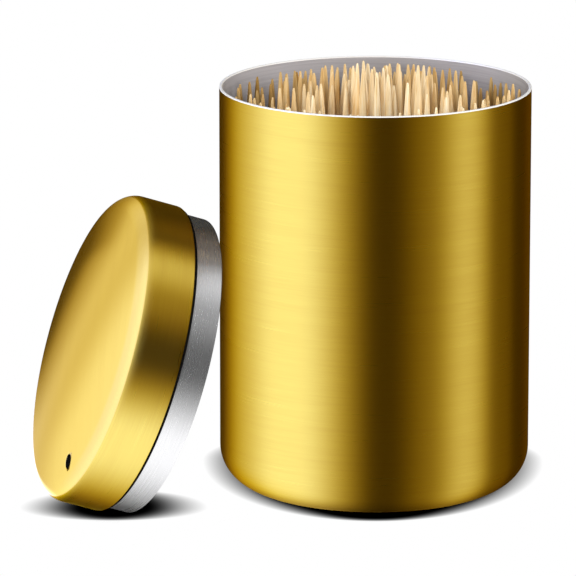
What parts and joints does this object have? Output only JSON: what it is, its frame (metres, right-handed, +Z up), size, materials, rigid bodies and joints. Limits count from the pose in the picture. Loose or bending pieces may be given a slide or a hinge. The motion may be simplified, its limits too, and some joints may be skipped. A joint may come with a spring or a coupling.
{
  "type": "toothpick dispenser",
  "caption": "Round drawn-steel toothpick canister filled with toothpicks, with its shallow cap-shaped lid taken off and stood on edge beside it; the lid has a hole for one pick.",
  "frame": {"origin": "centre of the canister's standing ring, on the table", "axes": "+Z up along the canister's axis, -Y towards the viewer of the picture, and the taken-off lid on the -X side, a little to the front"},
  "size_m": [0.0802, 0.0665, 0.0703],
  "materials": {
    "gold_steel": "thin sheet steel with a gold tone, finely brushed round the part, satin",
    "bare_steel": "bare stainless steel sheet, silver grey, finely brushed round the ring",
    "black_seal": "thin soft black ring, matt",
    "birch": "pale turned birch with fine lengthwise grain, not varnished"
  },
  "bodies": {
    "canister_body": {"canister": "gold_steel", "toothpicks_back": "birch", "toothpicks_centre": "birch", "toothpicks_front": "birch", "toothpicks_left": "birch", "toothpicks_right": "birch"},
    "lid": {"lid_cap": "gold_steel", "lid_collar": "bare_steel", "lid_seal": "black_seal"},
    "single_toothpick": {"loose_toothpick": "birch"}
  },
  "joints": [
    {"name": "lid_lift", "type": "slide", "parent": "canister_body", "child": "lid", "axis": [0, 0, 1], "range_m": [0, 0.075]},
    {"name": "toothpick_pull", "type": "slide", "parent": "canister_body", "child": "single_toothpick", "axis": [0, 0, 1], "range_m": [0, 0.075]}
  ]
}
